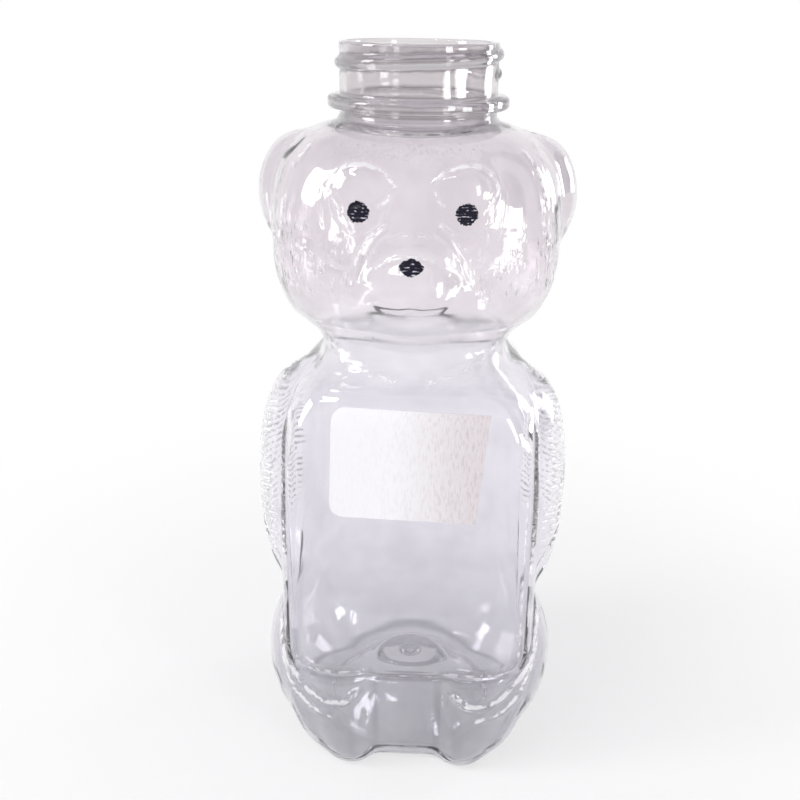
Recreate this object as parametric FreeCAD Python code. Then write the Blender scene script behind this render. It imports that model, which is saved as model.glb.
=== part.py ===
"""Bear-shaped squeeze bottle for honey: a blow-moulded clear bottle with a screw finish and no closure,
three spots of black ink for its eyes and nose, and a blank paper sticker on its front panel.

Millimetres, +Z up. The origin is on the standing face, under the middle of the bottle. The bear faces -Y.
"""

import FreeCAD, Part

import math
import os

from FreeCAD import Vector

# Heights that stack up from the standing face to the lip
BODY_HEIGHT = 104.0
HEAD_HEIGHT = 52.0
FINISH_HEIGHT = 16.0

# Wall of the blown shell
WALL = 0.7

# How far the head is flattened under the neck, and how far the neck is carried down into it
CROWN_FLAT = 0.5
NECK_SINK = 6.0
NECK_SKIRT = 1.3

# Torso, a rounded block with a flat panel front and back
TORSO_WIDTH = 62.0
TORSO_DEPTH = 65.0
TORSO_DROP = 4.0
TORSO_OVERLAP = 1.0
TORSO_FRONT_POWER = 6.0
TORSO_BACK_POWER = 3.4
TORSO_SIDE_POWER = 4.6
PANEL_INSET = 3.5
PANEL_TOP_GAP = 4.5
PANEL_BOTTOM = 28.9
PANEL_DIP = 1.9
PANEL_DIP_WIDTH = 13.0
PANEL_DIP_RUN = 4.5
BACK_PANEL_INSET = 3.0
BELLY_STEP = 2.0
BELLY_STEP_RUN = 1.6

# Arms, laid along both sides
ARM_SPAN = 75.5
ARM_THICKNESS = 12.0
ARM_FRONT = 24.5
ARM_BACK = 17.0
ARM_TOP_GAP = 5.5
ARM_BOTTOM = 41.0
ARM_END_POWER = 2.5

# Thighs round the hips, and the feet in front of them
THIGH_SPAN = 73.5
THIGH_THICKNESS = 21.0
THIGH_FRONT = 31.5
THIGH_BACK = 20.0
THIGH_BOTTOM = -2.0
THIGH_TOP = 46.0
FOOT_SPACING = 27.0
FOOT_WIDTH = 20.5
FOOT_FRONT = 32.5
FOOT_LENGTH = 25.0
FOOT_DROP = 4.0
FOOT_TOP = 23.0
FOOT_GAP = 17.6
FOOT_DRAFT = 0.45

# Rump, the round back of the hips
RUMP_WIDTH = 70.0
RUMP_FRONT = 26.0
RUMP_BACK = 33.0
RUMP_BOTTOM = -3.0
RUMP_TOP = 43.0
RUMP_POWER = 2.3

# Head and ears
HEAD_WIDTH = 66.0
HEAD_DEPTH = 58.0
HEAD_SECTION_POWER = 2.4
JAW_POWER = 2.6
SKULL_POWER = 3.6
EAR_SPAN = 73.5
EAR_THICKNESS = 10.0
EAR_FRONT = 8.0
EAR_BACK = 11.0
EAR_BOTTOM = 21.0
EAR_HEIGHT = 27.8

# Face, with heights measured up from the bottom of the head
MUZZLE_WIDTH = 30.0
MUZZLE_FRONT = 34.0
MUZZLE_ROOT = 20.0
MUZZLE_BOTTOM = 6.5
MUZZLE_TOP = 30.5
EYE_SPACING = 21.0
EYE_WIDTH = 14.5
EYE_HEIGHT = 13.0
EYE_BOTTOM = 33.5
EYE_STAND_OUT = 1.5
EYE_ROOT = 6.0
MOUTH_WIDTH = 17.0
MOUTH_HEIGHT = 17.5
MOUTH_DIP = 1.0
MOUTH_GROOVE = 0.45
MOUTH_GROOVE_WIDTH = 2.2

# Radii over which neighbouring forms run into each other
SOFT_BLEND = 4.0
CREASE_BLEND = 1.6
EDGE_BLEND = 1.2

# Screw finish, a 38 mm continuous thread of six turns to the inch
FINISH_ROOT_DIAMETER = 35.0
THREAD_DIAMETER = 37.2
BORE_DIAMETER = 31.6
THREAD_PITCH = 25.4 / 6
THREAD_WIDTH = 2.9
THREAD_START_ANGLE = -22.0
THREAD_TURN = 420.0
THREAD_FADE = 28.0
THREAD_BOTTOM_GAP = 6.9
THREAD_SINK = 0.6
THREAD_BEAD = 3.0
THREAD_STEP = 10.0
THREAD_SIDES = 12
THREAD_PATCHES = 2
RING_DIAMETER = 40.2
RING_HEIGHT = 2.6
RING_GAP = 11.2
RING_ROUND = 0.7
LIP_ROUND = 0.5

# Push-up of the base, a steep dome with a round step near its top
PUNT_SHARE = 0.70
PUNT_RIM = 1.0
PUNT_RISE = 13.0
PUNT_POWER = 3.0
PUNT_STEPS = 48
PUNT_STEP_DIAMETER = 15.0
PUNT_STEP_RISE = 1.1
PUNT_STEP_RUN = 1.2

# Seat of the ink and the sticker on the skin
FILM_SEAT = 0.1

# Ink spots
INK_FILM = 0.08
EYE_SPOT_DIAMETER = 4.5
EYE_SPOT_LEVEL = 36.0
EYE_SPOT_SPACING = 22.2
NOSE_SPOT_WIDTH = 5.0
NOSE_SPOT_HEIGHT = 3.2
NOSE_SPOT_LEVEL = 25.5

# Paper sticker, cut short at its right-hand end
LABEL_FILM = 0.12
LABEL_WIDTH = 35.0
LABEL_HEIGHT = 26.5
LABEL_CORNER = 3.2
LABEL_CUT_LEAN = 1.6
LABEL_TOP_GAP = 2.8
LABEL_SHIFT = -0.1
LABEL_TILT = -1.8

# Net of points that the moulded skin is drawn through
SKIN_COLUMNS = 144
SKIN_ROW_STEP = 1.4
FAN_STEPS = 18
SKIN_PATCHES = 6
BASE_FAN_HEIGHT = 24.0
CROWN_FAN_DROP = 18.0
CROWN_DISC_SHARE = 0.95
REACH = 70.0
TOLERANCE = 0.0005
SAME = 0.001

PANEL_DEPTH = TORSO_DEPTH / 2 - PANEL_INSET
BACK_PANEL_DEPTH = TORSO_DEPTH / 2 - BACK_PANEL_INSET
PUNT_RADIUS = PUNT_SHARE * min(TORSO_WIDTH, TORSO_DEPTH) / 2
CROWN = BODY_HEIGHT + HEAD_HEIGHT - CROWN_FLAT
LIP = BODY_HEIGHT + HEAD_HEIGHT + FINISH_HEIGHT


def lump(centre, half, section_power=2.0, side_power=2.0):
    """A rounded form: its centre, its half sizes, and how square its plan and its side view are."""
    return (*centre, *half, section_power, side_power)


def span(low, high):
    """The middle and half length of a stretch."""
    return (low + high) / 2, (high - low) / 2


def outside(form, x, y, z):
    """How far a point lies outside a lump, measured towards the lump's centre."""
    cx, cy, cz, ax, ay, az, section_power, side_power = form
    dx, dy, dz = x - cx, y - cy, z - cz
    if section_power == 2.0 and side_power == 2.0:
        share = math.sqrt((dx / ax) ** 2 + (dy / ay) ** 2 + (dz / az) ** 2)
    else:
        plan = (abs(dx / ax) ** section_power + abs(dy / ay) ** section_power) ** (1 / section_power)
        share = (plan**side_power + abs(dz / az) ** side_power) ** (1 / side_power)
    if share < TOLERANCE:
        return -min(ax, ay, az)
    return math.sqrt(dx * dx + dy * dy + dz * dz) * (1 - 1 / share)


def join(a, b, blend):
    """The union of two forms, run into each other over a blend."""
    overlap = max(blend - abs(a - b), 0) / blend
    return min(a, b) - overlap * overlap * blend / 4


def cut(a, b, blend):
    """What two forms share, with the edge between them rounded."""
    return -join(-a, -b, blend)


def ease(t):
    """A smooth step from 0 to 1."""
    t = min(max(t, 0), 1)
    return t * t * (3 - 2 * t)


def body_forms():
    """The front and back of the torso, the arm, thigh and foot of one side, and the rump."""
    torso_z, torso_half = span(-TORSO_DROP, BODY_HEIGHT + TORSO_OVERLAP)
    torso_size = (TORSO_WIDTH / 2, TORSO_DEPTH / 2, torso_half)
    chest = lump((0, 0, torso_z), torso_size, TORSO_FRONT_POWER, TORSO_SIDE_POWER)
    back = lump((0, 0, torso_z), torso_size, TORSO_BACK_POWER, TORSO_SIDE_POWER)
    arm_y, arm_depth = span(-ARM_FRONT, ARM_BACK)
    arm_z, arm_half = span(ARM_BOTTOM, BODY_HEIGHT - ARM_TOP_GAP)
    arm = lump(
        (ARM_SPAN / 2 - ARM_THICKNESS, arm_y, arm_z),
        (ARM_THICKNESS, arm_depth, arm_half),
        2.0,
        ARM_END_POWER,
    )
    thigh_y, thigh_depth = span(-THIGH_FRONT, THIGH_BACK)
    thigh_z, thigh_half = span(THIGH_BOTTOM, THIGH_TOP)
    thigh = lump(
        (THIGH_SPAN / 2 - THIGH_THICKNESS, thigh_y, thigh_z),
        (THIGH_THICKNESS, thigh_depth, thigh_half),
    )
    foot_y, foot_depth = span(-FOOT_FRONT, FOOT_LENGTH - FOOT_FRONT)
    foot_z, foot_half = span(-FOOT_DROP, FOOT_TOP)
    foot = lump((FOOT_SPACING / 2, foot_y, foot_z), (FOOT_WIDTH / 2, foot_depth, foot_half))
    rump_z, rump_half = span(RUMP_BOTTOM, RUMP_TOP)
    rump_y, rump_depth = span(-RUMP_FRONT, RUMP_BACK)
    rump = lump((0, rump_y, rump_z), (RUMP_WIDTH / 2, rump_depth, rump_half), RUMP_POWER, RUMP_POWER)
    return chest, back, arm, thigh, foot, rump


def head_forms():
    """The lower and upper half of the head, and the ear, muzzle and eye of one side."""
    head_z, head_half = span(BODY_HEIGHT, BODY_HEIGHT + HEAD_HEIGHT)
    head_size = (HEAD_WIDTH / 2, HEAD_DEPTH / 2, head_half)
    jaw = lump((0, 0, head_z), head_size, HEAD_SECTION_POWER, JAW_POWER)
    skull = lump((0, 0, head_z), head_size, HEAD_SECTION_POWER, SKULL_POWER)
    ear_y, ear_depth = span(-EAR_FRONT, EAR_BACK)
    ear_z, ear_half = span(BODY_HEIGHT + EAR_BOTTOM, BODY_HEIGHT + EAR_BOTTOM + EAR_HEIGHT)
    ear = lump((EAR_SPAN / 2 - EAR_THICKNESS, ear_y, ear_z), (EAR_THICKNESS, ear_depth, ear_half))
    muzzle_z, muzzle_half = span(BODY_HEIGHT + MUZZLE_BOTTOM, BODY_HEIGHT + MUZZLE_TOP)
    muzzle = lump(
        (0, -MUZZLE_ROOT, muzzle_z),
        (MUZZLE_WIDTH / 2, MUZZLE_FRONT - MUZZLE_ROOT, muzzle_half),
    )
    eye_z = BODY_HEIGHT + EYE_BOTTOM + EYE_HEIGHT / 2
    eye_front = front_of(skull, EYE_SPACING / 2, eye_z) + EYE_STAND_OUT
    eye = lump(
        (EYE_SPACING / 2, EYE_ROOT - eye_front, eye_z),
        (EYE_WIDTH / 2, EYE_ROOT, EYE_HEIGHT / 2),
    )
    return jaw, skull, ear, muzzle, eye


def front_of(form, x, z):
    """How far forward a lump centred on the axis reaches at that place."""
    _, _, cz, ax, ay, az, section_power, side_power = form
    plan = (1 - abs((z - cz) / az) ** side_power) ** (1 / side_power)
    return ay * (plan**section_power - abs(x / ax) ** section_power) ** (1 / section_power)


CHEST, BACK, ARM, THIGH, FOOT, RUMP = body_forms()
JAW, SKULL, EAR, MUZZLE, EYE = head_forms()
HEAD_MIDDLE = BODY_HEIGHT + HEAD_HEIGHT / 2


def mouth_groove(x, y, z):
    """The soft double curve pressed into the muzzle for the mouth."""
    half = MOUTH_WIDTH / 2
    if y > -MUZZLE_ROOT or abs(x) > half:
        return 0.0
    line = BODY_HEIGHT + MOUTH_HEIGHT - MOUTH_DIP * math.sin(2 * math.pi * abs(x) / MOUTH_WIDTH)
    away = abs(z - line) / MOUTH_GROOVE_WIDTH
    return MOUTH_GROOVE * (1 - ease(away)) * (1 - ease(abs(x) / half))


def bear(x, y, z):
    """How far a point lies outside the moulded form."""
    x = abs(x)
    dip = PANEL_DIP * (1 - ease((x - PANEL_DIP_WIDTH / 2) / PANEL_DIP_RUN))
    step_bottom = PANEL_BOTTOM - dip - BELLY_STEP_RUN / 2
    front = PANEL_DEPTH - BELLY_STEP * (1 - ease((z - step_bottom) / BELLY_STEP_RUN))
    body = outside(CHEST if y < 0 else BACK, x, y, z)
    body = cut(body, -front - y, EDGE_BLEND)
    body = cut(body, y - BACK_PANEL_DEPTH, EDGE_BLEND)
    if z < BODY_HEIGHT:
        leg = join(outside(THIGH, x, y, z), outside(FOOT, x, y, z), SOFT_BLEND)
        inner_side = FOOT_GAP / 2 + FOOT_DRAFT * (BELLY_STEP - PANEL_DEPTH - y)
        leg = cut(leg, inner_side - x, CREASE_BLEND)
        body = join(body, outside(RUMP, x, y, z), SOFT_BLEND)
        body = join(body, leg, CREASE_BLEND)
        body = join(body, outside(ARM, x, y, z), CREASE_BLEND)
    head = outside(SKULL if z > HEAD_MIDDLE else JAW, x, y, z)
    head = join(head, outside(EAR, x, y, z), EDGE_BLEND)
    head = join(head, outside(EYE, x, y, z), EDGE_BLEND)
    head = join(head, outside(MUZZLE, x, y, z), CREASE_BLEND)
    return join(body, head + mouth_groove(x, y, z), SOFT_BLEND)


def hit(height, direction):
    """How far along a ray from the axis the moulded form ends, closed in on from both sides."""
    dx, dy, dz = direction
    low, high = 0.0, REACH
    at_low, at_high = bear(0, 0, height), bear(REACH * dx, REACH * dy, height + REACH * dz)
    side = 0
    r = high
    value = at_high
    while abs(value) > TOLERANCE:
        r = (low * at_high - high * at_low) / (at_high - at_low)
        value = bear(r * dx, r * dy, height + r * dz)
        if value < 0:
            low, at_low = r, value
            at_high = at_high / 2 if side < 0 else at_high
            side = -1
        else:
            high, at_high = r, value
            at_low = at_low / 2 if side > 0 else at_low
            side = 1
    if dz < 0:
        r = min(r, -height / dz)
    if dz > 0:
        r = min(r, (CROWN - height) / dz)
    return r


def stations():
    """Where each row of the skin looks out from on the axis, and how steeply: fanned at both ends."""
    low, high = BASE_FAN_HEIGHT, CROWN - CROWN_FAN_DROP
    base_angle = math.atan2(low, PUNT_RADIUS + PUNT_RIM)
    flat_radius = front_of(SKULL, 0, CROWN) * min(1, HEAD_WIDTH / HEAD_DEPTH)
    crown_angle = math.atan2(CROWN_FAN_DROP, CROWN_DISC_SHARE * flat_radius)
    steps = round((high - low) / SKIN_ROW_STEP)
    rows = [(low, -base_angle * (1 - i / FAN_STEPS)) for i in range(FAN_STEPS)]
    rows += [(low + (high - low) * i / steps, 0.0) for i in range(steps + 1)]
    rows += [(high, crown_angle * (i + 1) / FAN_STEPS) for i in range(FAN_STEPS)]
    return rows


def net_of_points():
    """Rows of points on the moulded form, each once round from the back; the left side mirrors the right."""
    quarter = SKIN_COLUMNS // 4
    rows = []
    for height, steep in stations():
        flat, rise = math.cos(steep), math.sin(steep)
        right = []
        for i in range(-quarter, quarter + 1):
            angle = 2 * math.pi * i / SKIN_COLUMNS
            direction = Vector(flat * math.cos(angle), flat * math.sin(angle), rise)
            right.append(Vector(0, 0, height) + direction * hit(height, direction))
        left = [Vector(-p.x, p.y, p.z) for p in reversed(right)]
        rows.append(left + right[1:-1])
    return rows


def moved_in(rows, depth):
    """The same net, moved square to the skin by a depth, towards the inside."""
    count = len(rows[0])
    moved = [[p + Vector(0, 0, depth) for p in rows[0]]]
    for below, row, above in zip(rows, rows[1:], rows[2:]):
        inside = []
        for j, p in enumerate(row):
            around = row[(j + 1) % count] - row[j - 1]
            normal = around.cross(above[j] - below[j]).normalize()
            inside.append(p - normal * depth)
        moved.append(inside)
    moved.append([p - Vector(0, 0, depth) for p in rows[-1]])
    return moved


def skin_surface(rows):
    """A smooth surface drawn by a net of points, closed all round."""
    count = len(rows[0])
    surface = Part.BSplineSurface()
    surface.buildFromPolesMultsKnots(
        [[row[j] for row in rows] for j in range(count)],
        [1] * (count + 1),
        [4] + [1] * (len(rows) - 4) + [4],
        [float(i) for i in range(count + 1)],
        [float(i) for i in range(len(rows) - 2)],
        True,
        False,
        3,
        3,
    )
    return surface


def closed_skin(surface, patches):
    """The solid inside a surface, laid out in patches and shut by a flat disc at each end."""
    around, _, up = surface.bounds()[1:]
    faces = []
    for i in range(patches):
        for j in range(patches):
            patch = surface.copy()
            patch.segment(
                around * i // patches,
                around * (i + 1) // patches,
                up * j // patches,
                up * (j + 1) // patches,
            )
            faces.append(patch.toShape())
    sheet = Part.makeShell(faces)
    sheet.sewShape()
    rims = [edge for edge in sheet.Edges if len(sheet.ancestorsOfType(edge, Part.Face)) == 1]
    discs = [Part.Face(Part.Wire(rim)) for rim in Part.sortEdges(rims)]
    shell = Part.makeShell(sheet.Faces + discs)
    shell.sewShape()
    return Part.Solid(shell)


def turned(points):
    """A solid turned about the axis from straight runs of (radius, height)."""
    outline = Part.makePolygon([Vector(r, 0, z) for r, z in [*points, points[0]]])
    return Part.Face(outline).revolve(Vector(0, 0, 0), Vector(0, 0, 1), 360)


def circles(shape, radius, height):
    """The edges that run round the axis at that radius and height."""
    found = []
    for edge in shape.Edges:
        box = edge.BoundBox
        level = max(abs(box.ZMin - height), abs(box.ZMax - height))
        middle = edge.valueAt(sum(edge.ParameterRange) / 2)
        if level < SAME and abs(math.hypot(middle.x, middle.y) - radius) < SAME:
            found.append(edge)
    return found


def finish_blank():
    """The neck with its support ring and rounded lip, before its bore."""
    root, ring = FINISH_ROOT_DIAMETER / 2, RING_DIAMETER / 2
    ring_top = LIP - RING_GAP
    ring_bottom = ring_top - RING_HEIGHT
    blank = turned(
        [
            (0, CROWN - NECK_SINK),
            (root + NECK_SKIRT, CROWN - NECK_SINK),
            (root + NECK_SKIRT, CROWN - NECK_SKIRT),
            (root, CROWN + NECK_SKIRT),
            (root, ring_bottom),
            (ring, ring_bottom),
            (ring, ring_top),
            (root, ring_top),
            (root, LIP),
            (0, LIP),
        ]
    )
    blank = blank.makeFillet(LIP_ROUND, circles(blank, root, LIP))
    rims = circles(blank, ring, ring_top) + circles(blank, ring, ring_bottom)
    return blank.makeFillet(RING_ROUND, rims)


def thread():
    """One right-handed bead of thread that sinks into the neck at both ends."""
    root, crest = FINISH_ROOT_DIAMETER / 2, THREAD_DIAMETER / 2
    steps = round(THREAD_TURN / THREAD_STEP)
    drawn_in = 1 - (1 - math.cos(2 * math.pi / THREAD_SIDES)) / 3
    rows = []
    for i in range(steps + 1):
        turn = THREAD_TURN * i / steps
        angle = math.radians(THREAD_START_ANGLE + turn)
        shown = min(ease(turn / THREAD_FADE), ease((THREAD_TURN - turn) / THREAD_FADE))
        middle_r = root + shown * (crest - root) - THREAD_BEAD / 2 - THREAD_SINK * (1 - shown)
        middle_z = LIP - THREAD_BOTTOM_GAP + THREAD_PITCH * turn / 360
        row = []
        for k in range(THREAD_SIDES):
            t = 2 * math.pi * k / THREAD_SIDES
            r = middle_r + THREAD_BEAD / 2 / drawn_in * math.cos(t)
            z = middle_z + THREAD_WIDTH / 2 / drawn_in * math.sin(t)
            row.append(Vector(r * math.cos(angle), r * math.sin(angle), z))
        rows.append(row)
    return closed_skin(skin_surface(rows), THREAD_PATCHES)


def punt(wall):
    """The push-up in the base, a dome grown by a wall and carried down below the standing face."""
    profile = []
    for i in range(PUNT_STEPS + 1):
        r = PUNT_RADIUS * i / PUNT_STEPS
        share = (r / PUNT_RADIUS) ** PUNT_POWER
        slope = PUNT_POWER * PUNT_RISE * share / r if r else 0
        top = 1 - ease((r - PUNT_STEP_DIAMETER / 2) / PUNT_STEP_RUN)
        z = PUNT_RISE * (1 - share) + PUNT_STEP_RISE * top
        grown = wall / math.hypot(slope, 1)
        profile.append(Vector(r + grown * slope, 0, z + grown))
    curve = Part.BSplineCurve()
    curve.interpolate(profile)
    rim, foot = profile[-1], Vector(profile[-1].x, 0, -PUNT_RISE)
    below = Vector(0, 0, -PUNT_RISE)
    runs = Part.makePolygon([rim, foot, below, profile[0]])
    outline = Part.Wire([curve.toShape(), *runs.Edges])
    return Part.Face(outline).revolve(Vector(0, 0, 0), Vector(0, 0, 1), 360)


def front_skin(surface):
    """The front third of the skin above the feet, which the sticker and the ink lie on."""
    around, _, up = surface.bounds()[1:]
    patch = surface.copy()
    patch.segment(around // 3, around * 2 // 3, up // 4, up)
    return patch.toShape()


def film(face, outline, thickness):
    """A thin film that lies on the skin inside an outline seen from the front."""
    prism = Part.Face(outline).extrude(Vector(0, REACH, 0))
    back = face.common(prism).Faces[0]
    back.translate(Vector(0, -FILM_SEAT, 0))
    return back.extrude(Vector(0, -thickness, 0))


def spot(width, height, x, z):
    """The oval outline of an ink spot, in front of the bear."""
    oval = Part.Ellipse(Vector(0, 0, 0), width / 2, height / 2).toShape()
    oval.rotate(Vector(0, 0, 0), Vector(1, 0, 0), 90)
    oval.translate(Vector(x, -REACH, z))
    return Part.Wire([oval])


def label_outline():
    """The sticker's outline: round corners on its left, and a slanting cut on its right."""
    left, right = -LABEL_WIDTH / 2, LABEL_WIDTH / 2
    low, high = -LABEL_HEIGHT / 2, LABEL_HEIGHT / 2
    bend = LABEL_CORNER * (1 - math.sqrt(0.5))
    a, b = Vector(left + LABEL_CORNER, 0, high), Vector(right, 0, high)
    c, d = Vector(right - LABEL_CUT_LEAN, 0, low), Vector(left + LABEL_CORNER, 0, low)
    e, f = Vector(left, 0, low + LABEL_CORNER), Vector(left, 0, high - LABEL_CORNER)
    edges = [
        Part.makeLine(a, b),
        Part.makeLine(b, c),
        Part.makeLine(c, d),
        Part.Arc(d, Vector(left + bend, 0, low + bend), e).toShape(),
        Part.makeLine(e, f),
        Part.Arc(f, Vector(left + bend, 0, high - bend), a).toShape(),
    ]
    outline = Part.Wire(edges)
    outline.rotate(Vector(0, 0, 0), Vector(0, 1, 0), -LABEL_TILT)
    middle = BODY_HEIGHT - PANEL_TOP_GAP - LABEL_TOP_GAP - LABEL_HEIGHT / 2
    outline.translate(Vector(LABEL_SHIFT, -REACH, middle))
    return outline


rows = net_of_points()
surface = skin_surface(rows)
front = front_skin(surface)
outer = closed_skin(surface, SKIN_PATCHES)
cavity = closed_skin(skin_surface(moved_in(rows, WALL)), SKIN_PATCHES)
bore = Part.makeCylinder(BORE_DIAMETER / 2, LIP - CROWN + NECK_SINK, Vector(0, 0, CROWN - NECK_SINK))
bottle = outer.fuse([finish_blank(), thread()])
bottle = bottle.cut([cavity.cut(punt(WALL)), bore, punt(0)])
bottle = bottle.makeFillet(LIP_ROUND, circles(bottle, BORE_DIAMETER / 2, LIP))

eye_x, eye_z = EYE_SPOT_SPACING / 2, BODY_HEIGHT + EYE_SPOT_LEVEL
nose_z = BODY_HEIGHT + NOSE_SPOT_LEVEL
nodes = {
    "bottle": bottle,
    "label": film(front, label_outline(), LABEL_FILM),
    "eye_left": film(front, spot(EYE_SPOT_DIAMETER, EYE_SPOT_DIAMETER, -eye_x, eye_z), INK_FILM),
    "eye_right": film(front, spot(EYE_SPOT_DIAMETER, EYE_SPOT_DIAMETER, eye_x, eye_z), INK_FILM),
    "nose": film(front, spot(NOSE_SPOT_WIDTH, NOSE_SPOT_HEIGHT, 0, nose_z), INK_FILM),
}
os.makedirs("parts", exist_ok=True)
for name, shape in nodes.items():
    shape.exportStep(f"parts/{name}.step")
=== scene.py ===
import math

import bmesh
import bpy
from mathutils import Matrix, Vector, noise
from mathutils.bvhtree import BVHTree


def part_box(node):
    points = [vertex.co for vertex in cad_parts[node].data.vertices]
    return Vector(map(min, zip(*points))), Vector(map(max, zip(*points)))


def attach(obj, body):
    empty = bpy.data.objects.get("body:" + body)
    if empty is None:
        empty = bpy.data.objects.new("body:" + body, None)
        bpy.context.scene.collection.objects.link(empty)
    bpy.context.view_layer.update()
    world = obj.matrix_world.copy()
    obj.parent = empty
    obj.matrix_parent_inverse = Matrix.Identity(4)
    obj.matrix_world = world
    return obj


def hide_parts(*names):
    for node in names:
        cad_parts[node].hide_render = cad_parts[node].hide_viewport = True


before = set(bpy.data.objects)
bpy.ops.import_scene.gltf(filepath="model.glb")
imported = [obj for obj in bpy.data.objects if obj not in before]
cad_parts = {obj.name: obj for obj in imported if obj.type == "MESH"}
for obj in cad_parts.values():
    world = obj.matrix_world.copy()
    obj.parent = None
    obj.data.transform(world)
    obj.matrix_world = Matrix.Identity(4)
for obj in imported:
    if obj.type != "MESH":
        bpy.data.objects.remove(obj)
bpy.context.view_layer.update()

# The shell is the whole bear: clear PET, blown in one piece from a preform inside a mould.
# The screw finish came with the preform, so it is thick, and everything below it was stretched
# thin until it met the mould, which pressed the fur, the face and the panel edge into it.
MM = 0.001
COLUMNS = 216
FRONT_CROWDING = 0.4
PREFORM_RADIUS = 11 * MM
PREFORM_BORE = 9 * MM
PREFORM_BOTTOM = 24.4 * MM
PREFORM_TOP = 136.6 * MM
PREFORM_TURN = math.radians(0.31)
PUSH_UP_RADIUS = 22.2 * MM
PUSH_UP_ROWS = 40
PUSH_UP_CLEAR = 20 * MM
HEEL_ANGLE = math.radians(47.0)
HEEL_LINING_ANGLE = math.radians(44.2)
HEEL_ROWS = 34
BODY_ROWS = ((45 * MM, 30), (100 * MM, 60), (112 * MM, 15), (PREFORM_TOP, 48))
CROWN_ROWS = 46
CROWN_ANGLE = math.radians(43.3)
THROAT_ANGLE = math.radians(48.2)
LINING_SHARE = 2.6
SKIRT_BOTTOM = 155.55 * MM
SKIRT_TOP = 156.8 * MM
SKIRT_ROWS = 4
RING_BOTTOM = 158.2 * MM
RING_TOP = 160.8 * MM
RING_ROUND = 0.7 * MM
RING_ROWS = 7
THREAD_ROWS = 30
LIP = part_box("bottle")[1].z
LIP_ROUND = 0.5 * MM
LIP_ROWS = 4
FINISH_RADIUS = 17.5 * MM
BORE_RADIUS = 15.8 * MM
BORE_ROWS = 9
HAIR_GAP = 0.02 * MM
MERGE_GAP = HAIR_GAP / 100
GRAIN_SEED = 7
REACH = 70 * MM
SMOOTHINGS = 2
SMOOTHING = 0.5
PUSHED, BLOWN, TURNED, FINISHED, LINED, SEATED = range(6)


def steps(start, end, count):
    """Evenly spaced values from start up to, but not including, end."""
    return [start + (end - start) * i / count for i in range(count)]


def dome(angle, centre, radius):
    """A place on a round end of the preform, at an angle above its centre."""
    return radius * math.cos(angle), centre + radius * math.sin(angle)


def rounded(angle, radius):
    """A place on the round of the lip, about a centre at that radius."""
    return radius + LIP_ROUND * math.cos(angle), LIP - LIP_ROUND + LIP_ROUND * math.sin(angle)


def preform_profile():
    """The preform's outline from under its base, up the outside, over the lip and down the inside."""
    quarter = math.pi / 2
    outline = [(PUSHED, r, 0) for r in steps(0, PUSH_UP_RADIUS, PUSH_UP_ROWS)]
    outline += [(BLOWN, *dome(a, PREFORM_BOTTOM, PREFORM_RADIUS)) for a in steps(-HEEL_ANGLE, 0, HEEL_ROWS)]
    low = PREFORM_BOTTOM
    for high, count in BODY_ROWS:
        outline += [(BLOWN, PREFORM_RADIUS, z) for z in steps(low, high, count)]
        low = high
    outline += [(BLOWN, *dome(a, PREFORM_TOP, PREFORM_RADIUS)) for a in steps(0, CROWN_ANGLE, CROWN_ROWS)]
    heights = steps(SKIRT_BOTTOM, SKIRT_TOP, SKIRT_ROWS)
    heights += [SKIRT_TOP, RING_BOTTOM - HAIR_GAP, RING_BOTTOM + HAIR_GAP]
    heights += steps(RING_BOTTOM + RING_ROUND / 4, RING_TOP, RING_ROWS)
    heights += [RING_TOP - HAIR_GAP, RING_TOP + HAIR_GAP]
    heights += steps(RING_TOP + RING_ROUND, LIP - LIP_ROUND, THREAD_ROWS)
    outline += [(TURNED, FINISH_RADIUS, z) for z in heights]
    outline += [(FINISHED, *rounded(a, FINISH_RADIUS - LIP_ROUND)) for a in steps(0, quarter, LIP_ROWS)]
    inner_round = steps(quarter, 2 * quarter, LIP_ROWS)
    outline += [(FINISHED, *rounded(a, BORE_RADIUS + LIP_ROUND)) for a in inner_round]
    throat = PREFORM_TOP + BORE_RADIUS * math.tan(THROAT_ANGLE)
    outline += [(FINISHED, BORE_RADIUS, z) for z in steps(LIP - LIP_ROUND, throat, BORE_ROWS)]
    crown = steps(THROAT_ANGLE, 0, round(CROWN_ROWS / LINING_SHARE))
    outline += [(LINED, *dome(a, PREFORM_TOP, PREFORM_BORE)) for a in crown]
    body_rows = sum(count for _, count in BODY_ROWS)
    body = steps(PREFORM_TOP, PREFORM_BOTTOM, round(body_rows / LINING_SHARE))
    outline += [(LINED, PREFORM_BORE, z) for z in body]
    heel = steps(0, -HEEL_LINING_ANGLE, round(HEEL_ROWS / LINING_SHARE))
    outline += [(LINED, *dome(a, PREFORM_BOTTOM, PREFORM_BORE)) for a in heel]
    outline += [(SEATED, r, PUSH_UP_CLEAR) for r in steps(PUSH_UP_RADIUS, 0, PUSH_UP_ROWS // 2)]
    outline.append((SEATED, 0, PUSH_UP_CLEAR))
    return outline


noise.seed_set(GRAIN_SEED)
bm = bmesh.new()
wall = bm.verts.layers.int.new("wall")
# Each point of the wall carries an amount of painted highlight and an amount of painted shade.
painted_highlight = bm.verts.layers.float.new("painted_highlight")
painted_shade = bm.verts.layers.float.new("painted_shade")
last = None
for kind, radius, height in preform_profile():
    point = bm.verts.new((0, radius, height))
    point[wall] = kind
    if last:
        bm.edges.new((last, point))
    last = point
bmesh.ops.spin(
    bm,
    geom=bm.verts[:] + bm.edges[:],
    cent=(0, 0, 0),
    axis=(0, 0, 1),
    angle=2 * math.pi,
    steps=COLUMNS,
    use_merge=True,
)
bmesh.ops.remove_doubles(bm, verts=bm.verts, dist=MERGE_GAP)

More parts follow.
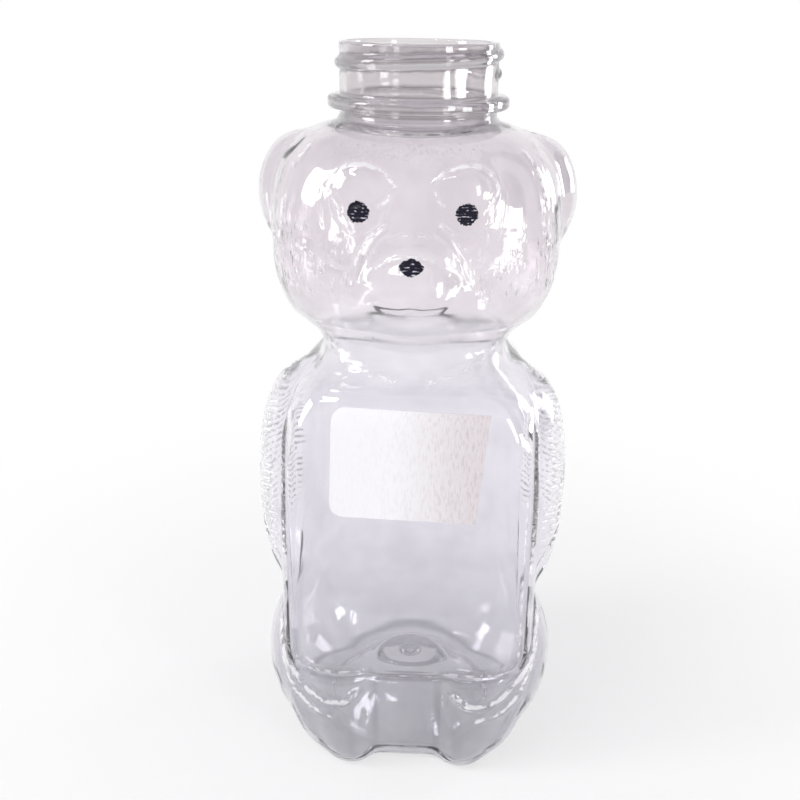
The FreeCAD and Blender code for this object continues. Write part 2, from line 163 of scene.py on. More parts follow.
# Blowing: the columns are crowded towards the face, and each point of the preform travels
# straight out until it meets the skin of the mould, or the lining a wall's thickness inside it.
# Under the push-up and over it, the points travel straight up and straight down.
skin = bmesh.new()
skin.from_mesh(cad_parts["bottle"].data)
mould = BVHTree.FromBMesh(skin)
skin.free()
UP = Vector((0, 0, 1))
for vert in bm.verts:
    angle = math.atan2(vert.co.x, -vert.co.y)
    turn = PREFORM_TURN - FRONT_CROWDING * math.sin(angle)
    vert.co.rotate(Matrix.Rotation(turn, 3, "Z"))
    kind = vert[wall]
    if kind == FINISHED:
        continue
    if kind in (PUSHED, SEATED):
        way = UP if kind == PUSHED else -UP
        start = Vector((vert.co.x + HAIR_GAP, vert.co.y, -REACH if kind == PUSHED else PUSH_UP_CLEAR))
        vert.co.z = mould.ray_cast(start, way)[0].z
        continue
    core = Vector((0, 0, vert.co.z))
    if kind != TURNED:
        core.z = min(max(vert.co.z, PREFORM_BOTTOM), PREFORM_TOP)
    outward = (vert.co - core).normalized()
    if kind == LINED:
        vert.co = mould.ray_cast(core, outward)[0]
    else:
        vert.co = mould.ray_cast(core + outward * REACH, -outward)[0]
bmesh.ops.recalc_face_normals(bm, faces=bm.faces)
blown = [vert for vert in bm.verts if vert[wall] in (BLOWN, LINED)]
for _ in range(SMOOTHINGS):
    bmesh.ops.smooth_vert(
        bm, verts=blown, factor=SMOOTHING, use_axis_x=True, use_axis_y=True, use_axis_z=True
    )

# The mould is rounded off under the muzzle and where the head meets the shoulders, most of all in
# the middle of each place. The lining there is laid a wall's thickness under the rounded skin.
WALL = 0.7 * MM
ROUNDINGS = 80
ROUNDED_CORE = 0.25
CHIN_HEIGHT = 115.5 * MM
CHIN_HALF = 24 * MM
CHIN_TALL = 11 * MM
CHIN_FRONT = -12 * MM
COLLAR_HEIGHT = 106 * MM
COLLAR_TALL = 8 * MM


def off_chin(vert):
    """How far a point lies from the middle of the chin: 1 at its edge."""
    if vert.co.y > CHIN_FRONT:
        return math.inf
    return math.hypot(vert.co.x / CHIN_HALF, (vert.co.z - CHIN_HEIGHT) / CHIN_TALL)


def off_collar(vert):
    """How far a point lies from the crease between the head and the shoulders: 1 at its edge."""
    return abs(vert.co.z - COLLAR_HEIGHT) / COLLAR_TALL


outside = [vert for vert in blown if vert[wall] == BLOWN]
inside = [vert for vert in blown if vert[wall] == LINED and min(off_chin(vert), off_collar(vert)) < 1]
for off_core in (off_chin, off_collar):
    for reach in steps(1, ROUNDED_CORE, ROUNDINGS):
        near = [vert for vert in outside if off_core(vert) < reach]
        bmesh.ops.smooth_vert(bm, verts=near, factor=SMOOTHING, use_axis_x=True, use_axis_y=True)
bm.normal_update()
bm.verts.index_update()
outer_faces = [face for face in bm.faces if all(vert[wall] == BLOWN for vert in face.verts)]
outer_corners = [[vert.index for vert in face.verts] for face in outer_faces]
rounded_skin = BVHTree.FromPolygons([vert.co for vert in bm.verts], outer_corners)
for vert in inside:
    place, normal, _, _ = rounded_skin.find_nearest(vert.co)
    vert.co = place - normal * WALL
bmesh.ops.smooth_vert(bm, verts=inside, factor=SMOOTHING, use_axis_x=True, use_axis_y=True)
bm.normal_update()


def swell(distance, width):
    """A soft hump across a line: 1 on the line, and 0 a width away from it."""
    t = min(abs(distance) / width, 1)
    return (1 - t * t) ** 2


def ease(value, low, high):
    """A soft step: 0 at low, 1 at high."""
    t = min(max((value - low) / (high - low), 0), 1)
    return t * t * (3 - 2 * t)


def between(value, low, high, soft):
    """1 inside a stretch, running out softly past both its ends."""
    return ease(value, low - soft, low) * (1 - ease(value, high, high + soft))


# Each mark of the mould is told as three numbers: how far it stands out of the skin in millimetres,
# how much painted highlight it carries, and how much painted shade darkens it.
BARE = (0, 0, 0)

# Fur: short raised strokes in staggered rows on the face, and leaning ridges down the arms. Each
# stretch of it is told by its start, its end and how softly it runs out.
STROKE_SPACING = 1.45
STROKE_PITCH = 2.3
STROKE_WIDTH = 0.7
STROKE_LENGTH = 1.15
STROKE_SEED = 3.7
CELL_MIDDLE = 0.5
HEAD_RADIUS = 31
FUR_HEIGHT = 0.16
FUR_HIGHLIGHT = 0.30
ARM_FUR_HEIGHT = 0.03
ARM_FUR_PITCH = 1.75
ARM_LEAN = 0.35
SIDE_APART = 50
MUZZLE_EDGE, MUZZLE_EDGE_HEIGHT, MUZZLE_EDGE_LEAN = 10, 136, 0.2
CHEEK_RISE = (121, 137, 1.5)
CHEEK_END = (30, 2)
BROW_RISE = (149.5, 153, 1)
BROW_SPAN = (3, 20, 3)
LIP_RISE = (126.3, 128.6, 0.6)
LIP_SPAN = (0, 8, 1.5)
ARM_RISE = (56, 94, 3)
ARM_SPAN = (-22, 14, 3)
ARM_SIDE = (29.5, 31.5)


def fur(across, along):
    """How far one stands on a stroke of fur, across the strokes and along them."""
    row = math.floor(along / STROKE_PITCH)
    stagger = (row % 2) / 2
    column = math.floor(across / STROKE_SPACING + stagger)
    pick = noise.cell(Vector((row + CELL_MIDDLE, column + CELL_MIDDLE, STROKE_SEED)))
    off_middle = (across / STROKE_SPACING + stagger - column - CELL_MIDDLE) * STROKE_SPACING
    off_end = (along / STROKE_PITCH - row - CELL_MIDDLE) * STROKE_PITCH
    return swell(off_middle, STROKE_WIDTH) * swell(off_end, STROKE_LENGTH) * abs(pick)


def head_fur(x, y, z):
    """Fur on the cheeks, the forehead, and in a band under the nose."""
    if y > 0:
        return BARE
    side = abs(x)
    around = math.atan2(side, -y) * HEAD_RADIUS
    muzzle_edge = MUZZLE_EDGE + MUZZLE_EDGE_LEAN * (MUZZLE_EDGE_HEIGHT - z)
    cheek = between(z, *CHEEK_RISE) * between(around, muzzle_edge, *CHEEK_END)
    brow = between(z, *BROW_RISE) * between(around, *BROW_SPAN)
    lip = between(z, *LIP_RISE) * between(side, *LIP_SPAN)
    shown = max(cheek, brow, lip) * fur(around + SIDE_APART * (x > 0), z)
    # The strokes carry a painted highlight.
    return FUR_HEIGHT * shown, FUR_HIGHLIGHT * shown, 0


def arm_fur(x, y, z):
    """Ridges of fur that lean across the outside of the arms."""
    shown = between(z, *ARM_RISE) * ease(abs(x), *ARM_SIDE) * between(y, *ARM_SPAN)
    wave = (1 + math.cos(2 * math.pi * (z + ARM_LEAN * y) / ARM_FUR_PITCH)) / 2
    return ARM_FUR_HEIGHT * shown * wave, 0, 0


# Front panel: a flat field with round corners, and a bottom edge that dips between the legs.
PANEL_HALF = 27.0
PANEL_TOP = 99.2
PANEL_BOTTOM = 28.9
PANEL_DIP = 1.9
PANEL_DIP_START, PANEL_DIP_END = 6.5, 11
PANEL_CORNER = 6.0
PANEL_RIDGE = 0.4
PANEL_GROOVE = 0.45
PANEL_GROOVE_OUT = 1.4
PANEL_LINE = 0.9
PANEL_HIGHLIGHT = 0.55
PANEL_SHADE = 0.30
PANEL_FRONT = -22
PANEL_TOP_FADE = 0.35


def panel_edge(x, y, z):
    """A raised line round the panel, with a painted highlight on it, and a groove outside it, with painted
    shade.
    """
    if y > PANEL_FRONT:
        return BARE
    bottom = PANEL_BOTTOM - PANEL_DIP * (1 - ease(abs(x), PANEL_DIP_START, PANEL_DIP_END))
    middle, half = (PANEL_TOP + bottom) / 2, (PANEL_TOP - bottom) / 2
    dx = abs(x) - PANEL_HALF + PANEL_CORNER
    dz = abs(z - middle) - half + PANEL_CORNER
    out = math.hypot(max(dx, 0), max(dz, 0)) + min(max(dx, dz), 0) - PANEL_CORNER
    ridge, groove = swell(out, PANEL_LINE), swell(out - PANEL_GROOVE_OUT, PANEL_LINE)
    share = 1 - (1 - PANEL_TOP_FADE) * ease(z, PANEL_TOP - PANEL_CORNER, PANEL_TOP)
    stands_out = PANEL_RIDGE * ridge - PANEL_GROOVE * groove
    return share * stands_out, share * PANEL_HIGHLIGHT * ridge, share * PANEL_SHADE * groove


# Lines of the mould on the front, the same left and right: how far each stands out, how wide it is, its
# painted highlight and its painted shade, and the places (across, up) that it runs through.
MOULD_LINES = {
    "brow rim": (
        0.30,
        0.8,
        0.80,
        0,
        (17.2, 144.8),
        (16.2, 147.2),
        (13.2, 149.1),
        (9.6, 149.2),
        (6.0, 147.8),
        (3.6, 145.2),
    ),
    "inner corner of the eye": (0.20, 0.9, 0.60, 0, (4.4, 144.4), (5.0, 142.4), (7.2, 141.2)),
    "outer corner of the eye": (0.20, 0.9, 0.60, 0, (17.6, 145.0), (16.4, 142.4), (15.0, 140.6)),
    "eye ring": (
        0.20,
        0.7,
        0.35,
        0,
        (5.2, 141.0),
        (6.2, 137.6),
        (9.2, 135.4),
        (12.6, 135.6),
        (15.2, 138.2),
        (15.8, 142.4),
    ),
    "side of the eye": (0.26, 0.8, 0.50, 0, (18.6, 144.0), (18.9, 141.0), (18.2, 136.6)),
    "muzzle crease": (-0.28, 0.8, 0, 0.15, (5.2, 136.2), (7.6, 134.4), (9.8, 130.6), (11.2, 126.5)),
    "muzzle ridge": (0.26, 0.8, 0.65, 0, (5.6, 137.8), (9.0, 135.0), (11.2, 131.0), (12.6, 125.0)),
    "side of the muzzle": (0.16, 1.6, 0.55, 0, (8.2, 131.6), (9.0, 128.8), (9.4, 126.6)),
    "nose pad": (0.30, 0.7, 0.55, 0, (0.0, 131.3), (3.0, 130.9), (5.8, 129.8), (8.2, 128.2)),
    "bridge of the nose": (0.16, 0.8, 0.55, 0, (0.8, 135.7), (2.6, 135.5), (4.4, 134.6)),
    "edge of the cheek": (0.18, 0.7, 0.60, 0, (12.9, 127.3), (15.0, 127.7), (17.4, 128.7)),
    "lower lip": (0.10, 1.5, 0.10, 0, (0.0, 125.0), (4.0, 125.2), (7.4, 124.2), (9.0, 122.6)),
    "mouth": (-0.08, 1.4, 0, 0.10, (0.0, 121.9), (2.5, 121.4), (5.5, 121.6), (8.4, 122.6)),
    "ear crease": (-0.10, 1.0, 0, 0, (24.0, 152.4), (27.4, 148.0), (29.8, 141.0), (31.0, 132.0)),
    "ear ridge": (0.18, 0.9, 0.65, 0, (22.4, 151.8), (25.7, 147.4), (28.1, 140.4), (29.3, 132.0)),
    "collar": (0.30, 0.9, 0.75, 0, (4.0, 101.8), (9.0, 102.6), (14.0, 104.6), (18.5, 107.6)),
    "knee": (
        0.60,
        1.3,
        0.90,
        0,
        (12.0, 23.4),
        (15.0, 21.0),
        (19.0, 20.8),
        (23.5, 22.6),
        (27.5, 26.5),
        (30.5, 31.0),
    ),
    "thigh": (
        0.40,
        1.3,
        0.80,
        0,
        (32.5, 35.0),
        (30.2, 27.0),
        (27.4, 21.6),
        (23.0, 17.6),
        (17.6, 16.6),
    ),
    "inner edge of the foot": (0.15, 0.9, 0.45, 0, (9.2, 21.5), (9.6, 13.5)),
    "paw upper": (-0.40, 0.9, 0, 0.1, (30.5, 54.0), (33.0, 57.0), (36.0, 61.0)),
    "paw lower": (-0.40, 0.9, 0, 0.1, (31.0, 49.0), (33.5, 52.0), (36.5, 56.0)),
}
FRONT_SIDE = -4


def off_line(places, x, z):
    """How far a place lies from a line that runs straight from each of its places to the next."""
    nearest = math.inf
    for (ax, az), (bx, bz) in zip(places, places[1:]):
        dx, dz = bx - ax, bz - az
        along = min(max(((x - ax) * dx + (z - az) * dz) / (dx * dx + dz * dz), 0), 1)
        nearest = min(nearest, math.hypot(x - ax - along * dx, z - az - along * dz))
    return nearest


def mould_lines(x, y, z):
    """The lines of the face, the ears, the shoulders, the paws and the legs."""
    if y > FRONT_SIDE:
        return BARE
    total, most_highlight, most_shade = BARE
    for height, width, highlight, shade, *places in MOULD_LINES.values():
        low, high = min(p[1] for p in places), max(p[1] for p in places)
        if low - width < z < high + width:
            near = swell(off_line(places, abs(x), z), width)
            total += height * near
            most_highlight = max(most_highlight, highlight * near)
            most_shade = max(most_shade, shade * near)
    return total, most_highlight, most_shade


# Under the push-up is the stub where the preform was cut from its runner, and round the back of the
# heel runs the line where the base of the mould met its two halves, with painted shade along it. The
# bottom of the base and the push-up carry a little painted shade too.
STUB_RADIUS = 1.9
STUB_EDGE = 0.6
STUB_DROP = 0.8
HEEL_RADIUS = 28.5
HEEL_LINE_WIDTH = 1.2
HEEL_LINE_HEIGHT = 0.2
HEEL_TOP = 4
HEEL_SOFT = 2
HEEL_BACK = (-5, 5)
HEEL_LINE_SHADE = 1.0
BASE_SHADE = 0.12
BASE_LEVEL = 1.0


def base_marks(x, y, z):
    """The stub in the middle of the push-up, the line round the back of the heel, and painted shade along
    that line and over the base.
    """
    radius = math.hypot(x, y)
    stub = 1 - ease(radius, STUB_RADIUS - STUB_EDGE, STUB_RADIUS + STUB_EDGE)
    heel = swell(radius - HEEL_RADIUS, HEEL_LINE_WIDTH) * ease(y, *HEEL_BACK)
    heel *= 1 - ease(z, HEEL_TOP, HEEL_TOP + HEEL_SOFT)
    in_push_up = radius < PUSH_UP_RADIUS / MM and z < PUSH_UP_CLEAR / MM
    base = BASE_SHADE if in_push_up or z < BASE_LEVEL else 0
    return STUB_DROP * stub + HEEL_LINE_HEIGHT * heel, 0, max(HEEL_LINE_SHADE * heel, base)


# Where the blown head meets the neck the wall is thick, and a band of painted shade runs round it.
NECK_LINE = 155.4
NECK_LINE_WIDTH = 1.5
NECK_LINE_SHADE = 1.0


def neck_shade_line(x, y, z):
    """The band of painted shade round the foot of the neck."""
    return 0, 0, NECK_LINE_SHADE * swell(z - NECK_LINE, NECK_LINE_WIDTH)


MARKS = (head_fur, arm_fur, panel_edge, mould_lines, base_marks, neck_shade_line)
pressed = []
for vert in bm.verts:
    if vert[wall] not in (PUSHED, BLOWN):
        continue
    x, y, z = vert.co / MM
    heights, highlights, shades = zip(*(mark(x, y, z) for mark in MARKS))
    pressed.append((vert, vert.normal * MM * sum(heights)))
    # Each point keeps its painted highlight and its painted shade for the finish.
    vert[painted_highlight] = max(highlights)
    vert[painted_shade] = max(shades)

# No mark stands out past the box that the bare bear fills.
low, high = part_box("bottle")
for vert, move in pressed:
    vert.co += move
    vert.co = [min(max(value, least), most) for value, least, most in zip(vert.co, low, high)]

# Painted shade also darkens the wall where it bends sharply, at the legs, in the base and on the screw
# finish.
BEND_SOFT, BEND_SHARP = 0.15, 0.55
LEGS_TOP = 40
STANDING_EDGE = 2
LEGS_SHADE = 0.55
STEP_SHADE = 1.0
FINISH_SHADE = 0.8
STEP_REACH = 10
bm.normal_update()
for vert in bm.verts:
    legs = vert[wall] == BLOWN and STANDING_EDGE < vert.co.z / MM < LEGS_TOP
    step = vert[wall] == PUSHED and vert.co.xy.length / MM < STEP_REACH
    if legs or step or vert[wall] == TURNED:
        turns = [
            vert.normal.angle(edge.other_vert(vert).normal) / edge.calc_length() for edge in vert.link_edges
        ]
        share = {TURNED: FINISH_SHADE, PUSHED: STEP_SHADE, BLOWN: LEGS_SHADE}[vert[wall]]
        bend_shade = share * ease(max(turns) * MM, BEND_SOFT, BEND_SHARP)
        vert[painted_shade] = max(vert[painted_shade], bend_shade, neck_shade_line(*(vert.co / MM))[2])
for face in bm.faces:
    face.smooth = True
mesh = bpy.data.meshes.new("shell")
bm.to_mesh(mesh)
bm.free()
shell = bpy.data.objects.new("shell", mesh)
bpy.context.scene.collection.objects.link(shell)
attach(shell, "root")
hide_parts("bottle")


class Wire:
    """A socket of a node tree. Arithmetic on wires adds Math nodes, and node() adds any other node."""

    NOISE_ROUGHNESS = 0.55
    # The colour sockets of a Mix node share their names with others, so they go by their numbers.
    MIX_FACTOR, MIX_FIRST, MIX_SECOND, MIX_RESULT = 0, 6, 7, 2

    def __init__(self, tree, socket=None):
        self.tree = tree
        self.socket = socket

    def node(self, kind, settings, inputs, output=0):
        made = self.tree.nodes.new(kind)
        for name, value in settings.items():
            setattr(made, name, value)
        for name, value in inputs.items():
            if isinstance(value, Wire):
                self.tree.links.new(value.socket, made.inputs[name])
            else:
                made.inputs[name].default_value = value
        return Wire(self.tree, made.outputs[output] if made.outputs else None)

    def math(self, operation, *values):
        return self.node("ShaderNodeMath", {"operation": operation}, dict(enumerate(values)))

    def __add__(self, other):
        return self.math("ADD", self, other)

    __radd__ = __add__

    def __mul__(self, other):
        return self.math("MULTIPLY", self, other)

    __rmul__ = __mul__

    def __sub__(self, other):
        return self.math("SUBTRACT", self, other)

    def __rsub__(self, other):
        return self.math("SUBTRACT", other, self)

    def noise(self, scale, detail=2):
        return self.node(
            "ShaderNodeTexNoise",
            {},
            {"Vector": self, "Scale": scale, "Detail": detail, "Roughness": self.NOISE_ROUGHNESS},
        )

    def spread(self, low, high, bottom=0.0, top=1.0):
        return self.node(
            "ShaderNodeMapRange",
            {"interpolation_type": "SMOOTHSTEP"},
            {"Value": self, "From Min": low, "From Max": high, "To Min": bottom, "To Max": top},
        )

    def band(self, start, end):
        return self.spread(*start) * self.spread(*end, 1.0, 0.0)

    def blend(self, first, second, kind="MIX"):
        return self.node(
            "ShaderNodeMix",
            {"data_type": "RGBA", "blend_type": kind},
            {self.MIX_FACTOR: self, self.MIX_FIRST: first, self.MIX_SECOND: second},
            self.MIX_RESULT,
        )


def finish(name):
    """An empty material, and a wire to build its nodes with."""
    material = bpy.data.materials.new(name)
    material.use_nodes = True
    material.node_tree.nodes.clear()
    return material, Wire(material.node_tree)


# PET is a little grey and lavender, most of all where the wall is thick, at the neck. The feet are
# painted darker, partly for their thick wall and partly as painted shade; the ears are painted darker
# as painted shade, and the chin and the arms are painted lighter as painted light. Painted shade also
# darkens creases and sharp bends, and painted highlights, a white opaque finish, lie along the
# mould's lines and in fine tufts of fur. Each place on the skin is told in metres, by the two ends of
# the soft edge that opens or closes it.
PET_NECK = (0.795, 0.765, 0.78, 1)
PET_HEAD = (0.878, 0.842, 0.872, 1)
PET_CHIN_LIGHTENED = (0.965, 0.945, 0.97, 1)
PET_BODY = (0.905, 0.89, 0.93, 1)
PET_EARS_SHADED = (0.82, 0.79, 0.82, 1)
PET_ARMS_LIGHTENED = (0.965, 0.955, 0.98, 1)
PET_FEET_THICK_AND_SHADED = (0.75, 0.745, 0.78, 1)
PET_CLOUD = (0.95, 0.945, 0.95, 1)
PET_PAINTED_SHADE = (0.35, 0.35, 0.37, 1)
PET_IOR = 1.575
HIGHLIGHT_WHITE = (0.98, 0.975, 0.985, 1)
HIGHLIGHT_ROUGH = 0.35
TUFT_STRETCH = (1.0, 1.0, 0.40)
TUFTS_PER_METRE = 900
TUFT_HIGHLIGHT = 0.36
ARM_HIGHLIGHT = 0.80
ARM_RELIEF = 0.4
TUFT_DEPTH = 0.00005
CHIN_ROUGH = 0.09
FEET_TO_BODY = (0.004, 0.040)
BODY_TO_CHIN = (0.098, 0.106)
CHIN_TO_HEAD = (0.113, 0.123)
HEAD_TO_NECK = (0.154, 0.157)
CHIN_FROM, CHIN_UP_TO = (0.100, 0.106), (0.116, 0.122)
ARMS_FROM, ARMS_UP_TO, ARMS_OUT = (0.054, 0.058), (0.092, 0.097), (0.0300, 0.0325)
EARS_FROM, EARS_UP_TO, EARS_OUT = (0.128, 0.136), (0.150, 0.155), (0.0275, 0.0300)
CHEEKS_FROM, CHEEKS_UP_TO, CHEEKS_OUT = (0.1195, 0.1225), (0.1345, 0.1385), (0.0115, 0.0150)
CHEEKS_AHEAD = (-0.012, -0.004)
BROW_FROM, BROW_UP_TO, BROW_OUT = (0.1485, 0.1500), (0.1520, 0.1535), (0.012, 0.020)
BROW_AHEAD = (-0.020, -0.016)
BROW_SHARE = 0.5
CLOUDS_PER_METRE, CLOUD_EDGE = 70, (0.42, 0.62)
SCUFFS_PER_METRE, SCUFF_EDGE, SCUFF_ROUGH = 150, (0.40, 0.72), (0.02, 0.06)
WAVES_PER_METRE, WAVE_STRENGTH, WAVE_DEPTH = 110, 0.35, 0.0006
TUFT_EDGE = (0.15, 0.50)
PATCHES_PER_METRE, PATCH_EDGE = 260, (0.40, 0.60)
RIDGE_EDGE = (0.1, 0.8)
HIGHLIGHT_BREAKS_PER_METRE, HIGHLIGHT_BREAK_EDGE, HIGHLIGHT_BREAK_SHARE = 420, (0.35, 0.62), (0.35, 1.1)
HIGHLIGHT_EDGE, HIGHLIGHT_MOST = (0.26, 0.62), 0.60
pet, start = finish("clear_pet")
place = start.node("ShaderNodeTexCoord", {}, {}, "Object")
height = start.node("ShaderNodeSeparateXYZ", {}, {"Vector": place}, "Z")
ahead = start.node("ShaderNodeSeparateXYZ", {}, {"Vector": place}, "Y")
side = start.node("ShaderNodeSeparateXYZ", {}, {"Vector": place}, "X")
side = side.math("ABSOLUTE", side)
# The feet's tint is partly the thick wall and partly painted shade; the ears carry painted shade, the chin
# and the arms painted light.
tint = height.spread(*FEET_TO_BODY).blend(PET_FEET_THICK_AND_SHADED, PET_BODY)
tint = height.spread(*BODY_TO_CHIN).blend(tint, PET_CHIN_LIGHTENED)
tint = height.spread(*CHIN_TO_HEAD).blend(tint, PET_HEAD)
tint = height.spread(*HEAD_TO_NECK).blend(tint, PET_NECK)
tint = place.noise(CLOUDS_PER_METRE).spread(*CLOUD_EDGE).blend(tint, PET_CLOUD, "MULTIPLY")
arms = height.band(ARMS_FROM, ARMS_UP_TO) * side.spread(*ARMS_OUT)
tint = arms.blend(tint, PET_ARMS_LIGHTENED)
ears = height.band(EARS_FROM, EARS_UP_TO) * side.spread(*EARS_OUT)
tint = ears.blend(tint, PET_EARS_SHADED)
# Painted shade darkens the wall along its creases, grooves, sharp bends and the heel and neck lines.
shade_amount = start.node("ShaderNodeAttribute", {"attribute_name": "painted_shade"}, {}, "Fac")
tint = shade_amount.blend(tint, PET_PAINTED_SHADE, "MULTIPLY")
chin = height.band(CHIN_FROM, CHIN_UP_TO)
scuffs = place.noise(SCUFFS_PER_METRE).spread(*SCUFF_EDGE, *SCUFF_ROUGH) + chin * CHIN_ROUGH
waves = place.noise(WAVES_PER_METRE, detail=1)
bumps = start.node(
    "ShaderNodeBump", {}, {"Height": waves, "Strength": WAVE_STRENGTH, "Distance": WAVE_DEPTH}
)
tufts = start.node("ShaderNodeVectorMath", {"operation": "MULTIPLY"}, {0: place, 1: TUFT_STRETCH})
tufts = start.node("ShaderNodeTexVoronoi", {}, {"Vector": tufts, "Scale": TUFTS_PER_METRE}, "Distance")
tufts = tufts.spread(*TUFT_EDGE, 1.0, 0.0)
cheeks = height.band(CHEEKS_FROM, CHEEKS_UP_TO) * side.spread(*CHEEKS_OUT)
cheeks = cheeks * ahead.spread(*CHEEKS_AHEAD, 1.0, 0.0)
brow = height.band(BROW_FROM, BROW_UP_TO) * side.spread(*BROW_OUT, BROW_SHARE, 0.0)
brow = brow * ahead.spread(*BROW_AHEAD, 1.0, 0.0)
patches = place.noise(PATCHES_PER_METRE).spread(*PATCH_EDGE)
hairs = tufts * (cheeks + brow) * patches
leaning = height + ahead * ARM_LEAN
ridges = leaning.math("COSINE", leaning * (2 * math.pi / (ARM_FUR_PITCH * MM))).spread(*RIDGE_EDGE)
ridges = ridges * arms * patches
fur_relief = hairs + ridges * ARM_RELIEF
bumps = start.node("ShaderNodeBump", {}, {"Height": fur_relief, "Distance": TUFT_DEPTH, "Normal": bumps})
clear = start.node(
    "ShaderNodeBsdfPrincipled",
    {},
    {"Base Color": tint, "Roughness": scuffs, "IOR": PET_IOR, "Transmission Weight": 1.0, "Normal": bumps},
)
# Painted highlights: a white opaque finish mixed in along the mould's lines, on the fur and on the arms.
highlight_finish = start.node(
    "ShaderNodeBsdfPrincipled",
    {},
    {"Base Color": HIGHLIGHT_WHITE, "Roughness": HIGHLIGHT_ROUGH, "IOR": PET_IOR, "Normal": bumps},
)
highlight_share = start.node("ShaderNodeAttribute", {"attribute_name": "painted_highlight"}, {}, "Fac")
highlight_share = highlight_share * place.noise(HIGHLIGHT_BREAKS_PER_METRE).spread(*HIGHLIGHT_BREAK_EDGE, *HIGHLIGHT_BREAK_SHARE)
highlight_share = highlight_share.spread(*HIGHLIGHT_EDGE, 0.0, HIGHLIGHT_MOST)
highlight_share = highlight_share.math("MAXIMUM", highlight_share, hairs * TUFT_HIGHLIGHT + ridges * ARM_HIGHLIGHT)
surface = start.node("ShaderNodeMixShader", {}, {"Fac": highlight_share, 1: clear, 2: highlight_finish})
start.node("ShaderNodeOutputMaterial", {}, {"Surface": surface})
shell.data.materials.append(pet)

# The sticker is white paper, pressed onto the panel by hand and cut short at its right-hand end.
# Its left corners are round, the cut leans and is a little ragged, and the paper's upright fibres
# show more and more towards the cut. Painted shade greys the paper towards the cut.
LABEL_WIDTH, LABEL_HEIGHT = 35 * MM, 26.5 * MM
LABEL_CENTRE = (-0.1 * MM, 0, 83.45 * MM)
LABEL_CORNER = 3.2 * MM
LABEL_CORNER_SEGMENTS = 8
LABEL_CUT_LEAN = 1.6 * MM
LABEL_TURN = math.radians(1.8)
LABEL_COLUMNS, LABEL_ROWS = 26, 44
LABEL_RAGGED = 0.14 * MM
LABEL_RIPPLE = 0.06 * MM
RIPPLES_PER_METRE = 140
LABEL_SEAT = 0.04 * MM
LABEL_FILM = 0.12 * MM

skin = bmesh.new()
skin.from_mesh(shell.data)
pressed_skin = BVHTree.FromBMesh(skin)
skin.free()


def laid_on_skin(bm, seat, film):
    """Lays a flat sheet back onto the front of the bear, and gives it its thickness towards the front."""
    for vert in bm.verts:
        ahead = Vector((vert.co.x, -REACH, vert.co.z))
        vert.co.y = pressed_skin.ray_cast(ahead, Vector((0, 1, 0)))[0].y - seat
    raised = bmesh.ops.extrude_face_region(bm, geom=bm.faces[:])
    lifted = [piece for piece in raised["geom"] if isinstance(piece, bmesh.types.BMVert)]
    bmesh.ops.translate(bm, verts=lifted, vec=(0, -film, 0))
    bmesh.ops.recalc_face_normals(bm, faces=bm.faces)


def made(bm, name, material):
    """The piece that a bmesh has become, with its finish, riding on the bear."""
    mesh = bpy.data.meshes.new(name)
    bm.to_mesh(mesh)
    bm.free()
    mesh.materials.append(material)
    piece = bpy.data.objects.new(name, mesh)
    bpy.context.scene.collection.objects.link(piece)
    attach(piece, "root")
    return piece


PAPER_WHITE = (0.905, 0.90, 0.915, 1)
PAPER_SHADED = (0.72, 0.67, 0.68, 1)
PAPER_FIBRE = (0.80, 0.77, 0.77, 1)
FIBRE_STRETCH = (1.0, 1.0, 0.2)
FIBRES_PER_METRE, FIBRE_EDGE = 3000, (0.45, 0.70)
FIBRE_RELIEF, FIBRE_DEPTH = 0.5, 0.00005
PAPER_SHADE_SPAN = (-0.006, 0.017)
STREAK_FADE, STREAK_SHARE = (-0.012, 0.015), (0.12, 0.75)
PAPER_EDGE, PAPER_ROUGH = (0.3, 0.7), (0.7, 0.95)
paper, start = finish("label_paper")
place = start.node("ShaderNodeTexCoord", {}, {}, "Object")
across = start.node("ShaderNodeSeparateXYZ", {}, {"Vector": place}, "X")
upright = start.node("ShaderNodeVectorMath", {"operation": "MULTIPLY"}, {0: place, 1: FIBRE_STRETCH})
fibres = upright.noise(FIBRES_PER_METRE, detail=3)
# Painted shade: the paper greys towards the cut.
shaded_right = across.spread(*PAPER_SHADE_SPAN)
tone = shaded_right.blend(PAPER_WHITE, PAPER_SHADED)
streaks = fibres.spread(*FIBRE_EDGE) * across.spread(*STREAK_FADE, *STREAK_SHARE)
tone = streaks.blend(tone, PAPER_FIBRE, "MULTIPLY")
bumps = start.node(
    "ShaderNodeBump", {}, {"Height": fibres, "Strength": FIBRE_RELIEF, "Distance": FIBRE_DEPTH}
)
dryness = fibres.spread(*PAPER_EDGE, *PAPER_ROUGH)
surface = start.node(
    "ShaderNodeBsdfPrincipled",
    {},
    {"Base Color": tone, "Roughness": dryness, "Normal": bumps},
)
start.node("ShaderNodeOutputMaterial", {}, {"Surface": surface})

bm = bmesh.new()
right, top = LABEL_WIDTH / 2, LABEL_HEIGHT / 2
corners = ((-right, -top), (right - LABEL_CUT_LEAN, -top), (right, top), (-right, top))
bm.faces.new([bm.verts.new((x, 0, z)) for x, z in corners])
bmesh.ops.bevel(
    bm,
    geom=[vert for vert in bm.verts if vert.co.x < 0],
    offset=LABEL_CORNER,
    segments=LABEL_CORNER_SEGMENTS,
    profile=0.5,
    affect="VERTICES",
    material=-1,
)
for x in steps(-right, right, LABEL_COLUMNS)[1:]:
    sheet = bm.verts[:] + bm.edges[:] + bm.faces[:]
    bmesh.ops.bisect_plane(bm, geom=sheet, plane_co=(x, 0, 0), plane_no=(1, 0, 0))
for z in steps(-top, top, LABEL_ROWS)[1:]:
    sheet = bm.verts[:] + bm.edges[:] + bm.faces[:]
    bmesh.ops.bisect_plane(bm, geom=sheet, plane_co=(0, 0, z), plane_no=(0, 0, 1))
